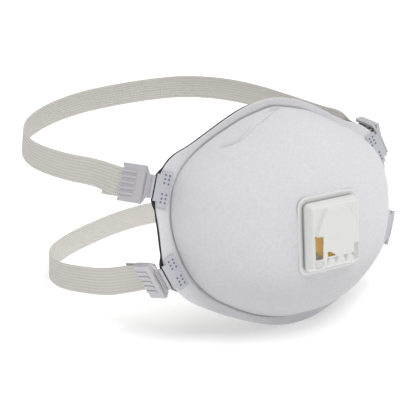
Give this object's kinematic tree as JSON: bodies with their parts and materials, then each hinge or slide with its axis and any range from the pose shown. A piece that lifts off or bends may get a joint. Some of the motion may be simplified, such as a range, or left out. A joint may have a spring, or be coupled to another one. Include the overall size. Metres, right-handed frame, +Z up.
{
  "type": "valved cup respirator mask",
  "caption": "White moulded cup respirator with a square exhalation valve, black face seal and two braided headbands threaded through hinged plastic buckles.",
  "frame": {"origin": "middle of the bounding box in X and Y, on the floor", "axes": "+Y runs back from the valve to the headbands, -Y is the front of the cup, +Z is up through the nose end, +X is the wearer's left"},
  "size_m": [0.196, 0.245, 0.1233],
  "materials": {
    "cover_web": "smooth pressed nonwoven",
    "filter_web": "soft nonwoven",
    "inner_web": "moulded nonwoven",
    "seal": "matt foam",
    "clip": "satin",
    "valve_seat": "satin",
    "flap": "smooth",
    "valve_cover": "satin",
    "tabs": "satin, slightly clear",
    "buckles": "satin, slightly clear",
    "upper_headband": "braided elastic",
    "lower_headband": "braided elastic"
  },
  "bodies": {
    "mask": {"outer_shell": "cover_web", "filter_layer": "filter_web", "inner_shell": "inner_web", "face_seal": "seal", "nose_clip": "clip", "valve_seat": "valve_seat", "valve_cover": "valve_cover", "tab_upper_left": "tabs", "tab_upper_right": "tabs", "tab_lower_left": "tabs", "tab_lower_right": "tabs", "upper_headband": "upper_headband", "lower_headband": "lower_headband"},
    "valve_flap": {"valve_diaphragm": "flap"},
    "buckle_upper_left": {"buckle_upper_left": "buckles"},
    "buckle_upper_right": {"buckle_upper_right": "buckles"},
    "buckle_lower_left": {"buckle_lower_left": "buckles"},
    "buckle_lower_right": {"buckle_lower_right": "buckles"}
  },
  "joints": [
    {"name": "buckle_upper_left_hinge", "type": "hinge", "parent": "mask", "child": "buckle_upper_left", "pos_m": [-0.06958, -0.06233, 0.08804], "axis": [0.3541, 0.2167, 0.9098], "range_deg": [-12, 35], "stiffness_Nm_per_rad": 0.01, "deforming": ["upper_headband"]},
    {"name": "buckle_upper_right_hinge", "type": "hinge", "parent": "mask", "child": "buckle_upper_right", "pos_m": [0.08572, -0.06233, 0.08804], "axis": [0.3541, -0.2167, -0.9098], "range_deg": [-12, 35], "stiffness_Nm_per_rad": 0.01, "deforming": ["upper_headband"]},
    {"name": "buckle_lower_left_hinge", "type": "hinge", "parent": "mask", "child": "buckle_lower_left", "pos_m": [-0.06898, -0.07404, 0.03889], "axis": [-0.385, 0.2139, 0.8978], "range_deg": [-12, 35], "stiffness_Nm_per_rad": 0.01, "deforming": ["lower_headband"]},
    {"name": "buckle_lower_right_hinge", "type": "hinge", "parent": "mask", "child": "buckle_lower_right", "pos_m": [0.08512, -0.07404, 0.03889], "axis": [-0.385, -0.2139, -0.8978], "range_deg": [-12, 35], "stiffness_Nm_per_rad": 0.01, "deforming": ["lower_headband"]},
    {"name": "valve_flap_hinge", "type": "hinge", "parent": "mask", "child": "valve_flap", "pos_m": [0.00807, -0.11523, 0.07613], "axis": [-1, 0, 0], "range_deg": [0, 7], "stiffness_Nm_per_rad": 0.0004}
  ]
}
